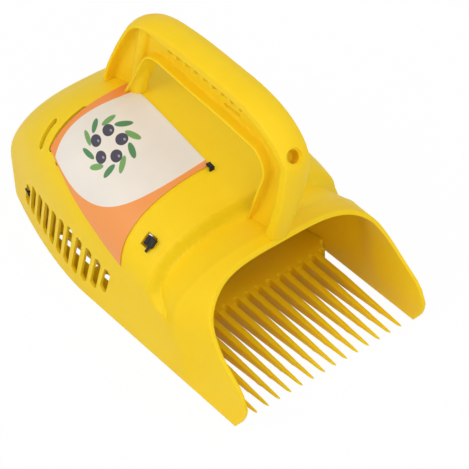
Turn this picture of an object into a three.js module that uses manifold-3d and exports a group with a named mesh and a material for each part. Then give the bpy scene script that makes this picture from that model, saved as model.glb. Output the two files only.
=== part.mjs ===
// A one-hand berry picking rake: a moulded scoop with a comb of tines, a hood round its mouth and a loop handle.
// Millimetres, +Z up. X runs across, -Y points out of the mouth. Y is measured here from the line of the tine
// tips and Z from the ground, and the whole rake is centred over its origin at the end.
import * as THREE from 'three';
import { mergeVertices } from 'three/addons/utils/BufferGeometryUtils.js';
import Module from 'manifold-3d';

// Driving dimensions
const rearReach = 282.3;
const noseReach = 7;
const footHalfWidth = 73;
const wall = 2.4;
const handleHeight = 182;
const handleFootHeight = 77.532;
const handleWidth = 20.4;
const tinePitch = 9;
const tineCount = 14;
const clearance = 0.3;
const overrun = 4;
const cutDepth = 10;

// Hood round the mouth: the rim, the ridge behind it and the valley behind the ridge
const rimTopReach = 46;
const rimHalfWidth = 70.2;
const rimHeight = 82.8;
const ridgeReach = 55.2;
const ridgeHalfWidth = 77.1;
const ridgeHeight = 83.4;
const valleyReach = 80.3;
const valleyHalfWidth = 73.5;
const valleyHeight = 81.1;

// Roof and rear of the scoop
const roofFrontReach = 110.6;
const roofFrontHalfWidth = 75.8;
const roofFrontHeight = 99.9;
const roofRearSetback = 83.8;
const roofRearReach = rearReach - roofRearSetback;
const roofRearHalfWidth = 73.2;
const roofRearHeight = 107;
const taperLength = 122.3;
const taperReach = rearReach - taperLength;
const taperDepth = 27.8;
const taperPower = 1.62;
const rearEdgeHeight = 22.5;
const rearCornerReach = 16;
const rearCornerDepth = 14;
const domePower = 1.65;
const blendReach = 5;
const blendShares = [-1, -0.5, 0, 0.5, 1];

// Section shapes: where the arch springs from the side wall, and how square it is
const rimSpringShare = 0.1;
const ridgeSpringShare = 0.42;
const valleySpringShare = 0.6;
const roofFrontSpringShare = 0.55;
const roofRearSpringShare = 0.51;
const rimSquareness = 4.3;
const ridgeSquareness = 2.76;
const valleySquareness = 2.49;
const roofFrontSquareness = 2.41;
const roofRearSquareness = 2.61;

// Side view of the rim from its foot to its top, as shares of its run and height
const rimAlongShares = [0.19, 0.05, 0, 0.06, 0.115, 0.25, 0.46, 0.69, 0.84, 1];
const rimUpShares = [0, 0.13, 0.26, 0.345, 0.4, 0.465, 0.575, 0.735, 0.885, 1];

// Handle: two side view paths, front foot to rear foot, as shares of the handle's run and height
const handleFrontReach = 29.5;
const handleRearOverhang = 17;
const handleRun = roofRearReach + handleRearOverhang - handleFrontReach;
const outerAlongShares = [
  0.133, 0.099, 0.054, 0.012, 0, 0.044, 0.119, 0.222, 0.356, 0.514, 0.667, 0.755, 0.816, 0.861, 0.917, 0.966, 0.992, 1,
];
const outerUpShares = [
  0.426, 0.515, 0.614, 0.743, 0.832, 0.901, 0.952, 0.982, 0.993, 1, 0.994, 0.972, 0.932, 0.87, 0.776, 0.68, 0.612, 0.544,
];
const outerWidthShares = [1, 1, 1, 1, 1, 1, 1, 1, 1, 1, 0.94, 0.82, 0.75, 0.75, 0.78, 0.82, 0.84, 0.86];
const innerAlongShares = [
  0.273, 0.194, 0.147, 0.12, 0.155, 0.224, 0.333, 0.531, 0.66, 0.704, 0.744, 0.788, 0.828, 0.882, 0.927,
];
const innerUpShares = [
  0.456, 0.545, 0.65, 0.742, 0.808, 0.821, 0.835, 0.851, 0.865, 0.861, 0.836, 0.764, 0.689, 0.595, 0.496,
];
const innerWidthShare = 0.88;
const flangeThickness = 2.2;
const flangeCrown = 2.6;
const webThickness = 3;

// Handle details: a column in the rear leg, ribs under the grip, a slit in the web and a hole to hang the rake by
const columnTopSetback = 26;
const columnFootSetback = 8;
const columnTopDrop = 7;
const columnFootDrop = 78;
const columnRadius = 5.5;
const gripRibCount = 9;
const gripRibPitch = 8.7;
const gripRibSetback = 44.1;
const gripRibThickness = 1.6;
const gripRibHeight = 11;
const gripRibDepth = 6;
const slitSetback = 59.5;
const slitDrop = 25.5;
const slitLength = 13;
const slitWidth = 2.6;
const hangHoleSetback = 3;
const hangHoleDrop = 25.5;
const hangHoleRadius = 3.8;
const hangHoleDepth = 7;
const countersinkRadius = 6;
const countersinkDepth = 1.3;

// Side vents, from the front one to the rear one
const sideVentCount = 11;
const sideVentWidth = 5.2;
const sideVentLeanShare = 0.28;
const firstVentReach = 132;
const lastVentSetback = 46.3;
const lowestVent = 3;
const tallestVent = 4;
const firstVentFoot = 18;
const lowestVentFoot = 11;
const lastVentFoot = 15;
const firstVentTop = 42;
const tallestVentTop = 51;
const lastVentTop = 37;
const ventTopDip = 4;

// Vents across the rear shoulders, from the rearmost one forwards, and a narrow one low on each rear corner
const shoulderVentWidth = 5;
const shoulderVentAlongShares = [0.208831, 0.059666, -0.077566];
const shoulderVentOuterShares = [0.845628, 0.860656, 0.901639];
const shoulderVentInnerShares = [0.647541, 0.45082, 0.614754];

// Window in the left shoulder
const windowLead = 12.1;
const windowReach = roofFrontReach - windowLead;
const windowAcross = 61.8;
const windowWidth = 9;
const windowLength = 8;

// Comb: tines, a slotted floor behind them and a tongue that holds it in the scoop
const tineReach = 86;
const tineTipHeight = 5;
const tineTipWidth = 1.6;
const tineTipDepth = 2.2;
const tineRootWidth = 4.8;
const tineRootHeight = 8.6;
const tineWidthPower = 0.6;
const tineFallPower = 0.8;
const tineShares = [0, 0.03, 0.12, 0.34, 0.5, 0.66, 1];
const tineNoseShare = 0.3;
const tineAcrossShares = [-0.5, 0.5, 0.5, 0.36, 0, -0.36, -0.5];
const tineUpShares = [0, 0, 0.6, 0.88, 1, 0.88, 0.6];
const floorThickness = 4.8;
const floorBarDepth = 8;
const floorSlotWidth = 4.4;
const floorSlotStart = 105;
const crossRibWidth = 6;
const crossRibCount = 3;
const tongueDepth = 0.9;
const tongueHeight = 1.6;
const tongueLift = 1.6;

// Label over the left half of the roof: its lower edge rises to the rear
const labelThickness = 0.5;
const labelSetback = 0.2;
const labelFrontReach = roofFrontReach + labelSetback;
const labelLength = roofRearReach - clearance - labelFrontReach;
const labelTopAcross = 3;
const labelFrontAngleShare = 0.04;
const labelRearAngleShare = 0.17;

// Ties: one round the window's front edge, a strap at the label's front corner and a bar in the rearmost side vent
const strapThickness = 1;
const strapWidth = 3.4;
const headLength = 6.4;
const headWidth = 5;
const headHeight = 3;
const headOverlap = 1;
const tailLength = 7;
const cornerTieLength = 5;
const cornerTieLead = 2;
const cornerTieReach = roofFrontReach - cornerTieLead;
const cornerTieAcross = 4;
const barLength = 7.4;
const barWidth = 1.4;
const barUpShare = 0.7;

// How finely curves are followed
const archSteps = 22;
const domeSteps = 8;
const planSteps = 14;
const rimSteps = 24;
const pathSteps = 36;
const flangeSteps = 4;
const roundSteps = 24;
const slotEndSteps = 3;
const labelSteps = 14;
const labelRows = 8;
const seatTurn = 0.01;

// Plain maths
function clamp01(value) {
  return Math.min(1, Math.max(0, value));
}

function mix(from, to, share) {
  return from + (to - from) * share;
}

// Sections of the scoop at set places, front to rear; between them they change steadily
const stations = [
  [rimTopReach, rimHalfWidth, rimHeight, rimSpringShare, rimSquareness],
  [ridgeReach, ridgeHalfWidth, ridgeHeight, ridgeSpringShare, ridgeSquareness],
  [valleyReach, valleyHalfWidth, valleyHeight, valleySpringShare, valleySquareness],
  [roofFrontReach, roofFrontHalfWidth, roofFrontHeight, roofFrontSpringShare, roofFrontSquareness],
  [roofRearReach, roofRearHalfWidth, roofRearHeight, roofRearSpringShare, roofRearSquareness],
];

function stationAt(reach) {
  const next = stations.findIndex((station) => station[0] > reach);
  if (next <= 0) {
    return next === 0 ? stations[0] : stations[stations.length - 1];
  }
  const share = (reach - stations[next - 1][0]) / (stations[next][0] - stations[next - 1][0]);
  return stations[next].map((value, k) => mix(stations[next - 1][k], value, share));
}

// The mean of the sections just before and after a place rounds each change of slope
function blendedStation(reach) {
  const around = blendShares.map((share) => stationAt(reach + share * blendReach));
  return around[0].map((_, k) => around.reduce((sum, station) => sum + station[k], 0) / around.length);
}

// The scoop's section at a place, drawn in all round by an inset
function sectionAt(reach, inset) {
  const [, half, height, springShare, squareness] = blendedStation(reach);
  const end = rearReach - inset;
  const taper = clamp01((reach - taperReach) / (end - taperReach)) ** taperPower;
  const corner = clamp01((reach - end + rearCornerReach) / rearCornerReach);
  const dome = clamp01((reach - roofRearReach) / (end - roofRearReach));
  const drawn = inset + taperDepth * taper + rearCornerDepth * (1 - Math.sqrt(1 - corner * corner));
  const top = mix(rearEdgeHeight, height, (1 - dome ** domePower) ** (1 / domePower)) - inset;
  return { half: half - drawn, foot: footHalfWidth - drawn, top, spring: top * springShare, squareness };
}

// A point on the arch of a section: angle 0 is the left springing and PI the right one
function archPoint({ half, top, spring, squareness }, angle) {
  const across = -Math.cos(angle);
  const power = 2 / squareness;
  return new THREE.Vector2(
    half * Math.sign(across) * Math.abs(across) ** power,
    spring + (top - spring) * Math.abs(Math.sin(angle)) ** power,
  );
}

// Half width of a section at a height on its side wall
function wallHalf({ half, foot, spring }, height) {
  return mix(foot, half, clamp01(height / spring));
}

// The angle of the arch point at a distance across from the middle, on the left
function angleAcross({ half, squareness }, across) {
  return Math.acos(Math.min(1, across / half) ** (squareness / 2));
}

// The whole section ring: up the left side, over the arch and down the right side
function sectionRing(reach, inset, bottom) {
  const section = sectionAt(reach, inset);
  const points = [new THREE.Vector2(-section.foot, bottom)];
  for (let step = 0; step <= archSteps; step += 1) {
    points.push(archPoint(section, (Math.PI * step) / archSteps));
  }
  points.push(new THREE.Vector2(section.foot, bottom));
  return points;
}

// Solid helpers
const wasm = await Module();
wasm.setup();

function volumeOf(positions, faces) {
  const [a, b, c] = [new THREE.Vector3(), new THREE.Vector3(), new THREE.Vector3()];
  let volume = 0;
  for (let at = 0; at < faces.length; at += 3) {
    a.fromArray(positions, 3 * faces[at]);
    b.fromArray(positions, 3 * faces[at + 1]);
    c.fromArray(positions, 3 * faces[at + 2]);
    volume += a.dot(b.cross(c));
  }
  return volume;
}

// One closed body through rings of points; contour is the first ring drawn flat, for the end faces
function skin(rings, contour) {
  const count = contour.length;
  const positions = rings.flat().flatMap((point) => point.toArray());
  const faces = [];
  for (let ring = 0; ring + 1 < rings.length; ring += 1) {
    for (let k = 0; k < count; k += 1) {
      const a = ring * count + k;
      const b = ring * count + ((k + 1) % count);
      faces.push(a, b, b + count, a, b + count, a + count);
    }
  }
  const last = (rings.length - 1) * count;
  const order = THREE.ShapeUtils.isClockWise(contour) ? -1 : 1;
  for (const [a, b, c] of THREE.ShapeUtils.triangulateShape(contour, [])) {
    const face = order > 0 ? [a, b, c] : [a, c, b];
    const sameWay = (face[1] - face[0] + count) % count < (face[2] - face[0] + count) % count;
    const [p, q, r] = sameWay ? face : [face[0], face[2], face[1]];
    faces.push(p, r, q, last + p, last + q, last + r);
  }
  if (volumeOf(positions, faces) < 0) {
    for (let at = 0; at < faces.length; at += 3) {
      [faces[at + 1], faces[at + 2]] = [faces[at + 2], faces[at + 1]];
    }
  }
  const geometry = new THREE.BufferGeometry();
  geometry.setAttribute('position', new THREE.Float32BufferAttribute(positions, 3));
  geometry.setIndex(faces);
  return geometry;
}

function solid(geometry) {
  const bare = geometry.clone();
  bare.deleteAttribute('normal');
  bare.deleteAttribute('uv');
  const merged = mergeVertices(bare);
  return new wasm.Manifold(new wasm.Mesh({
    numProp: 3,
    vertProperties: new Float32Array(merged.attributes.position.array),
    triVerts: new Uint32Array(merged.index.array),
  }));
}

function geometryOf(body) {
  const { vertProperties, triVerts } = body.getMesh();
  const geometry = new THREE.BufferGeometry();
  geometry.setAttribute('position', new THREE.BufferAttribute(new Float32Array(vertProperties), 3));
  geometry.setIndex(new THREE.BufferAttribute(new Uint32Array(triVerts), 1));
  geometry.computeVertexNormals();
  return geometry;
}

function joined(bodies) {
  return bodies.reduce((whole, body) => whole.add(body));
}

// A side view outline, its x along Y and its y along Z, pushed through from one X to another
function acrossX(shape, from, to, curveSegments = slotEndSteps) {
  const geometry = new THREE.ExtrudeGeometry(shape, { depth: to - from, bevelEnabled: false, curveSegments });
  const swap = new THREE.Matrix4().set(0, 0, 1, from, 1, 0, 0, 0, 0, 1, 0, 0, 0, 0, 0, 1);
  return geometry.applyMatrix4(swap);
}

// A plan outline raised from one Z to another
function upZ(shape, from, to, curveSegments = slotEndSteps) {
  const geometry = new THREE.ExtrudeGeometry(shape, { depth: to - from, bevelEnabled: false, curveSegments });
  return geometry.translate(0, 0, from);
}

// A slot with round ends, between two points
function slotShape(start, end, width) {
  const radius = width / 2;
  const along = end.clone().sub(start);
  const angle = along.angle();
  const shape = new THREE.Shape();
  shape.absarc(end.x, end.y, radius, angle - Math.PI / 2, angle + Math.PI / 2, false);
  shape.absarc(start.x, start.y, radius, angle + Math.PI / 2, angle + Math.PI * 1.5, false);
  return shape;
}

function box(width, length, height, x, y, z) {
  return solid(new THREE.BoxGeometry(width, length, height).translate(x, y, z));
}

// A frame on the scoop's left outside: x runs up the arch, y to the rear and z out of the wall
function seatFrom(pointOn, turn, step) {
  const up = pointOn(0, turn + step).sub(pointOn(0, turn - step)).normalize();
  const out = up.clone().cross(pointOn(wall, turn).sub(pointOn(-wall, turn))).normalize();
  const rearward = out.clone().cross(up);
  return new THREE.Matrix4().makeBasis(up, rearward, out).setPosition(pointOn(0, turn));
}

// The frame at a distance across from the middle, on the arch
function archSeat(reach, across) {
  return seatFrom((along, angle) => {
    const { x, y } = archPoint(sectionAt(reach + along, 0), angle);
    return new THREE.Vector3(x, reach + along, y);
  }, angleAcross(sectionAt(reach, 0), across), seatTurn);
}

// The frame at a height on the side wall
function wallSeat(reach, height) {
  return seatFrom(
    (along, up) => new THREE.Vector3(-wallHalf(sectionAt(reach + along, 0), up), reach + along, up),
    height,
    wall,
  );
}

function mirrored(body) {
  return body.mirror([1, 0, 0]);
}

function moved(body, matrix) {
  return body.transform(matrix.elements);
}

// Scoop: the skin of the body from one end to the other, drawn in by an inset
function scoopSolid(front, end, inset, bottom) {
  const places = [front, rimTopReach - blendReach];
  for (const [reach] of stations) {
    places.push(reach - blendReach / 2, reach, reach + blendReach / 2);
  }
  places.push((valleyReach + roofFrontReach) / 2, (roofFrontReach + taperReach) / 2);
  places.push(taperReach, (taperReach + roofRearReach) / 2, roofRearReach + blendReach);
  places.sort((a, b) => a - b);
  const last = places[places.length - 1];
  for (let step = 1; step <= domeSteps; step += 1) {
    places.push(mix(last, end, Math.sin((Math.PI / 2) * (step / domeSteps))));
  }
  const rings = places.map((reach) =>
    sectionRing(reach, inset, bottom).map((point) => new THREE.Vector3(point.x, reach, point.y)));
  return solid(skin(rings, sectionRing(front, inset, bottom)));
}

// Everything in front of the rim, to be cut away: the rim leans back from its nose to the top of the hood
function mouthCut() {
  const run = noseReach + rimTopReach;
  const curve = new THREE.SplineCurve(rimAlongShares.map((along, k) =>
    new THREE.Vector2(along * run - noseReach, rimUpShares[k] * rimHeight)));
  const shape = new THREE.Shape();
  shape.moveTo(-noseReach - 2 * overrun, -overrun);
  shape.lineTo(rimAlongShares[0] * run - noseReach, -overrun);
  for (const point of curve.getPoints(rimSteps)) {
    shape.lineTo(point.x, point.y);
  }
  shape.lineTo(rimTopReach, ridgeHeight + overrun);
  shape.lineTo(-noseReach - 2 * overrun, ridgeHeight + overrun);
  shape.closePath();
  return solid(acrossX(shape, -ridgeHalfWidth - overrun, ridgeHalfWidth + overrun));
}

// A side view path of the handle; its feet keep to the roof when the handle gets taller
function handlePath(alongShares, upShares) {
  const footShare = outerUpShares[0];
  const rise = (handleHeight - handleFootHeight) / (1 - footShare);
  return new THREE.SplineCurve(alongShares.map((along, k) =>
    new THREE.Vector2(handleFrontReach + along * handleRun, handleFootHeight + (upShares[k] - footShare) * rise)));
}

// A strip that follows a path: its edges rise over the path, its back is crowned and its face to the loop flat
function flange(path, widthAt, rise, crown) {
  const steps = crown > 0 ? flangeSteps : 1;
  const contour = [];
  for (let k = 0; k <= steps; k += 1) {
    const across = mix(-1, 1, k / steps);
    contour.push(new THREE.Vector2(across, rise + crown * (1 - across * across)));
  }
  contour.push(new THREE.Vector2(1, rise - flangeThickness), new THREE.Vector2(-1, rise - flangeThickness));
  const rings = [];
  for (let step = 0; step <= pathSteps; step += 1) {
    const point = path.getPointAt(step / pathSteps);
    const tangent = path.getTangentAt(step / pathSteps);
    const half = widthAt(path.getUtoTmapping(step / pathSteps)) / 2;
    rings.push(contour.map(({ x, y }) => new THREE.Vector3(x * half, point.x - tangent.y * y, point.y + tangent.x * y)));
  }
  return solid(skin(rings, contour));
}

// Width of the outer flange at a share of its path
function outerWidth(share) {
  const last = outerWidthShares.length - 1;
  const from = Math.min(last - 1, Math.floor(share * last));
  return handleWidth * mix(outerWidthShares[from], outerWidthShares[from + 1], share * last - from);
}

// The height of the handle's outer path over a place of the grip
function gripHeight(path, reach) {
  const points = path.getSpacedPoints(pathSteps);
  const next = points.findIndex((point, k) => k > pathSteps / 4 && point.x > reach);
  const [a, b] = [points[next - 1], points[next]];
  return mix(a.y, b.y, (reach - a.x) / (b.x - a.x));
}

// Ribs in the corner between the web and the grip's flange, on both sides of the web
function gripRibs(path) {
  const ribs = [];
  for (let k = 0; k < gripRibCount; k += 1) {
    const reach = handleFrontReach + gripRibSetback + k * gripRibPitch;
    const top = gripHeight(path, reach) - flangeThickness / 2;
    const shape = new THREE.Shape([
      new THREE.Vector2(0, top),
      new THREE.Vector2(0, top - gripRibHeight),
      new THREE.Vector2(webThickness / 2, top - gripRibHeight),
      new THREE.Vector2(webThickness / 2 + gripRibDepth, top),
    ]);
    const rib = solid(upZ(shape, 0, gripRibThickness).rotateX(Math.PI / 2).translate(0, reach + gripRibThickness / 2, 0));
    ribs.push(rib, mirrored(rib));
  }
  return joined(ribs);
}

// A round bar between two points of the middle plane
function roundBar(from, to, radius) {
  const along = new THREE.Vector3(0, to.x - from.x, to.y - from.y);
  const middle = new THREE.Vector3(0, (from.x + to.x) / 2, (from.y + to.y) / 2);
  const turn = new THREE.Quaternion().setFromUnitVectors(new THREE.Vector3(0, 1, 0), along.clone().normalize());
  const bar = new THREE.CylinderGeometry(radius, radius, along.length(), roundSteps).applyQuaternion(turn);
  return solid(bar.translate(middle.x, middle.y, middle.z));
}

// The hole to hang the rake by, with its countersink, sunk square into the front leg
function hangHole(path) {
  const points = path.getSpacedPoints(pathSteps).slice(0, pathSteps / 2);
  const height = handleHeight - hangHoleDrop;
  const near = points.findIndex((point) => point.y > height);
  const along = points[near].clone().sub(points[near - 1]).normalize();
  const inwards = new THREE.Vector2(along.y, -along.x);
  const face = new THREE.Vector2(handleFrontReach + hangHoleSetback, height).addScaledVector(inwards, -flangeCrown);
  const start = face.clone().addScaledVector(inwards, -overrun);
  return roundBar(start, face.clone().addScaledVector(inwards, hangHoleDepth), hangHoleRadius)
    .add(roundBar(start, face.clone().addScaledVector(inwards, countersinkDepth), countersinkRadius));
}

// The column and the inner flange of the handle, grown by a gap
function innerParts(gap) {
  const path = handlePath(innerAlongShares, innerUpShares);
  const strip = flange(path, () => handleWidth * innerWidthShare + 2 * gap, flangeThickness / 2, 0);
  return joined([
    strip,
    strip.translate([0, gap, 0]),
    strip.translate([0, -gap, 0]),
    roundBar(
      new THREE.Vector2(roofRearReach - columnFootSetback, handleHeight - columnFootDrop),
      new THREE.Vector2(roofRearReach - columnTopSetback, handleHeight - columnTopDrop),
      columnRadius + gap,
    ),
  ]);
}

function handleSolid() {
  const outer = handlePath(outerAlongShares, outerUpShares);
  const inner = handlePath(innerAlongShares, innerUpShares);
  const web = new THREE.Shape([...outer.getSpacedPoints(pathSteps), ...inner.getSpacedPoints(pathSteps).reverse()]);
  const slitReach = handleFrontReach + slitSetback;
  const slit = slotShape(
    new THREE.Vector2(slitReach - slitLength / 2, handleHeight - slitDrop),
    new THREE.Vector2(slitReach + slitLength / 2, handleHeight - slitDrop),
    slitWidth,
  );
  return joined([
    flange(outer, outerWidth, 0, flangeCrown),
    innerParts(0),
    solid(acrossX(web, -webThickness / 2, webThickness / 2)),
    gripRibs(outer),
  ])
    .subtract(solid(acrossX(slit, -webThickness, webThickness)))
    .subtract(hangHole(outer));
}

// Middle of a side vent's lower and upper round ends: the feet dip and the tops rise from the first to the last
function sideVentEnds(k) {
  const last = sideVentCount - 1;
  const reach = mix(firstVentReach, rearReach - lastVentSetback, k / last);
  const foot = k < lowestVent
    ? mix(lowestVentFoot, firstVentFoot, (1 - k / lowestVent) ** 2)
    : mix(lowestVentFoot, lastVentFoot, (k - lowestVent) / (last - lowestVent));
  const risen = k < tallestVent
    ? mix(firstVentTop, tallestVentTop, k / tallestVent)
    : mix(tallestVentTop, tallestVentTop - 2 * ventTopDip, (k - tallestVent) / (last - tallestVent));
  const top = k === last ? lastVentTop : risen;
  const lean = ((top - foot) * sideVentLeanShare) / 2;
  return [
    new THREE.Vector2(reach + lean, foot + sideVentWidth / 2),
    new THREE.Vector2(reach - lean, top - sideVentWidth / 2),
  ];
}

function sideVents() {
  const cuts = [];
  for (let k = 0; k < sideVentCount; k += 1) {
    const shape = slotShape(...sideVentEnds(k), sideVentWidth);
    cuts.push(solid(acrossX(shape, -ridgeHalfWidth - overrun, ridgeHalfWidth + overrun)));
  }
  return joined(cuts);
}

function shoulderVents() {
  const left = joined(shoulderVentAlongShares.map((along, k) => {
    const reach = roofRearReach + along * roofRearSetback;
    const [outer, inner] = [shoulderVentOuterShares, shoulderVentInnerShares].map((shares) =>
      shares[k] * roofRearHalfWidth);
    const outerSeat = new THREE.Vector3().setFromMatrixPosition(archSeat(reach, outer));
    const innerSeat = new THREE.Vector3().setFromMatrixPosition(archSeat(reach, inner));
    const half = (outerSeat.distanceTo(innerSeat) - shoulderVentWidth) / 2;
    const shape = slotShape(new THREE.Vector2(-half, 0), new THREE.Vector2(half, 0), shoulderVentWidth);
    return moved(solid(upZ(shape, -cutDepth, cutDepth)), archSeat(reach, (outer + inner) / 2));
  }));
  return left.add(mirrored(left));
}

function tieHoles() {
  const window = box(windowWidth, windowLength, 2 * cutDepth, 0, 0, 0);
  const slit = box(strapWidth + 2 * clearance, strapThickness + 2 * clearance, 2 * cutDepth, 0, 0, 0);
  return moved(window, archSeat(windowReach, windowAcross)).add(moved(slit, archSeat(cornerTieReach, cornerTieAcross)));
}

// Plan outline of the inside of the scoop at the floor, from a front edge to the rear, drawn in by a gap
function planShape(front, gap) {
  const end = rearReach - wall - gap;
  const right = [];
  for (let step = 0; step <= planSteps; step += 1) {
    const reach = mix(front, end, Math.sin((Math.PI / 2) * (step / planSteps)));
    right.push(new THREE.Vector2(sectionAt(reach, wall + gap).foot, reach));
  }
  const left = right.map((point) => new THREE.Vector2(-point.x, point.y)).reverse();
  return new THREE.Shape([...right, ...left]);
}

function bodyShell() {
  const outside = scoopSolid(-noseReach - overrun, rearReach, 0, 0);
  const inside = scoopSolid(-noseReach - 2 * overrun, rearReach - wall, wall, -overrun);
  const groove = solid(upZ(planShape(tineReach, -tongueDepth), tongueLift, tongueLift + tongueHeight + 2 * clearance));
  return outside
    .subtract(mouthCut())
    .add(handleSolid())
    .subtract(inside)
    .subtract(sideVents())
    .subtract(shoulderVents())
    .subtract(tieHoles())
    .subtract(groove);
}

// Comb: the slotted floor and its tines in one moulding. A tine is a row of rings from its tip to its root
function tine(x) {
  const rings = tineShares.map((share) => {
    const nose = share === 0 ? tineNoseShare : 1;
    const width = mix(tineTipWidth, tineRootWidth, share ** tineWidthPower) * nose;
    const depth = mix(tineTipDepth, tineRootHeight, share) * nose;
    const middle = mix(tineTipHeight, tineTipDepth / 2, share ** tineFallPower);
    const base = share === 0 ? middle - depth / 2 : middle - tineTipDepth / 2;
    const reach = share * (tineReach + floorBarDepth / 2);
    return tineAcrossShares.map((across, k) =>
      new THREE.Vector3(x + across * width, reach, base + tineUpShares[k] * depth));
  });
  const contour = rings[0].map((point) => new THREE.Vector2(point.x, point.z));
  return solid(skin(rings, contour));
}

function combFloor() {
  const plate = solid(upZ(planShape(tineReach, clearance), 0, floorThickness));
  const tongueFoot = tongueLift + clearance;
  const tongue = solid(upZ(
    planShape(tineReach + floorBarDepth, clearance - tongueDepth),
    tongueFoot,
    tongueFoot + tongueHeight,
  ));
  const tines = [];
  for (let k = 0; k < tineCount; k += 1) {
    tines.push(tine((k - (tineCount - 1) / 2) * tinePitch));
  }
  const slots = [];
  const bay = (rearReach - wall - floorSlotStart - floorBarDepth) / crossRibCount;
  for (let k = 1 - tineCount / 2; k < tineCount / 2; k += 1) {
    for (let row = 0; row < crossRibCount; row += 1) {
      const start = floorSlotStart + row * bay + floorSlotWidth / 2;
      const end = floorSlotStart + (row + 1) * bay - crossRibWidth - floorSlotWidth / 2;
      if (Math.abs(k * tinePitch) + tinePitch < sectionAt(end, wall).foot) {
        const slot = slotShape(
          new THREE.Vector2(k * tinePitch, start),
          new THREE.Vector2(k * tinePitch, end),
          floorSlotWidth,
        );
        slots.push(solid(upZ(slot, -overrun, floorThickness + overrun)));
      }
    }
  }
  return joined([plate, tongue, ...tines]).subtract(joined(slots));
}

// Label: a thin card that follows the roof from a lower edge up to a top edge beside the handle
function labelCard() {
  const rings = [];
  for (let row = 0; row <= labelRows; row += 1) {
    const reach = labelFrontReach + (labelLength * row) / labelRows;
    const low = Math.PI * mix(labelFrontAngleShare, labelRearAngleShare, row / labelRows);
    const high = angleAcross(sectionAt(reach, 0), labelTopAcross);
    const under = [];
    const over = [];
    for (let k = 0; k <= labelSteps; k += 1) {
      const angle = mix(low, high, k / labelSteps);
      const inner = archPoint(sectionAt(reach, wall / 2), angle);
      const outer = archPoint(sectionAt(reach, -clearance - labelThickness), angle);
      under.push(new THREE.Vector3(inner.x, reach, inner.y));
      over.push(new THREE.Vector3(outer.x, reach, outer.y));
    }
    rings.push([...under, ...over.reverse()]);
  }
  const contour = rings[0].map((point) => new THREE.Vector2(point.x, point.z));
  return solid(skin(rings, contour))
    .subtract(scoopSolid(-noseReach, rearReach + clearance, -clearance, 0))
    .subtract(innerParts(clearance));
}

// Ties: a clip bent round the front edge of the window has its head and its cut tail outside
function shoulderTie() {
  const edge = -windowLength / 2 + clearance;
  const under = -wall - 2 * clearance;
  const over = 2 * clearance;
  const neck = over + headHeight / 2 - under + strapThickness;
  const hook = headLength / 2;
  return joined([
    box(headWidth, headLength, headHeight, 0, edge + strapThickness, over + headHeight / 2),
    box(strapWidth, strapThickness, neck, 0, edge + strapThickness / 2, under - strapThickness + neck / 2),
    box(strapWidth, hook, strapThickness, 0, edge + strapThickness - hook / 2, under - strapThickness / 2),
    box(
      tailLength,
      barWidth,
      strapThickness,
      headOverlap - (headWidth + tailLength) / 2,
      edge,
      over + strapThickness,
    ),
  ]);
}

function cornerTie() {
  const over = 3 * clearance + labelThickness;
  const neck = over + strapThickness + wall + clearance;
  const top = over + strapThickness;
  return joined([
    box(strapWidth, cornerTieLength, strapThickness, 0, (cornerTieLength - strapThickness) / 2, top - strapThickness / 2),
    box(strapWidth, strapThickness, neck, 0, 0, top - neck / 2),
  ]);
}

function rearTie() {
  const over = 2 * clearance + strapThickness / 2;
  const under = -wall - 3 * clearance - strapThickness / 2;
  return joined([
    box(barWidth, barLength, strapThickness, 0, 0, over),
    box(barWidth, barLength, strapThickness, 0, 0, under),
    box(strapThickness, barWidth, over - under, 0, 0, (over + under) / 2),
  ]);
}

// Materials
const yellow = new THREE.MeshStandardMaterial({ color: 0xf0d032, roughness: 0.45, metalness: 0 });
const combYellow = new THREE.MeshStandardMaterial({ color: 0xe8bc1e, roughness: 0.45, metalness: 0 });
const card = new THREE.MeshStandardMaterial({ color: 0xe6ded2, roughness: 0.6, metalness: 0 });
const black = new THREE.MeshStandardMaterial({ color: 0x1c1a17, roughness: 0.5, metalness: 0 });

const rake = new THREE.Group();

function place(name, body, material) {
  const mesh = new THREE.Mesh(geometryOf(body), material);
  mesh.name = name;
  rake.add(mesh);
}

place('body_shell', bodyShell(), yellow);
place('comb_floor', combFloor(), combYellow);
place('label_card', labelCard(), card);
place('tie_shoulder', moved(shoulderTie(), archSeat(windowReach, windowAcross)), black);
place('tie_corner', moved(cornerTie(), archSeat(cornerTieReach, cornerTieAcross)), black);
const [ventFoot, ventTop] = sideVentEnds(sideVentCount - 1);
const barPlace = ventFoot.clone().lerp(ventTop, barUpShare);
place('tie_rear', moved(rearTie(), wallSeat(barPlace.x, barPlace.y)), black);

// The origin is under the middle of the whole rake
const extent = new THREE.Box3().setFromObject(rake);
rake.position.y = -(extent.min.y + extent.max.y) / 2;

export default rake;
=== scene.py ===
import math

import bpy
from bpy.props import FloatProperty, FloatVectorProperty, IntProperty, PointerProperty
from mathutils import Matrix, Vector


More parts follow.
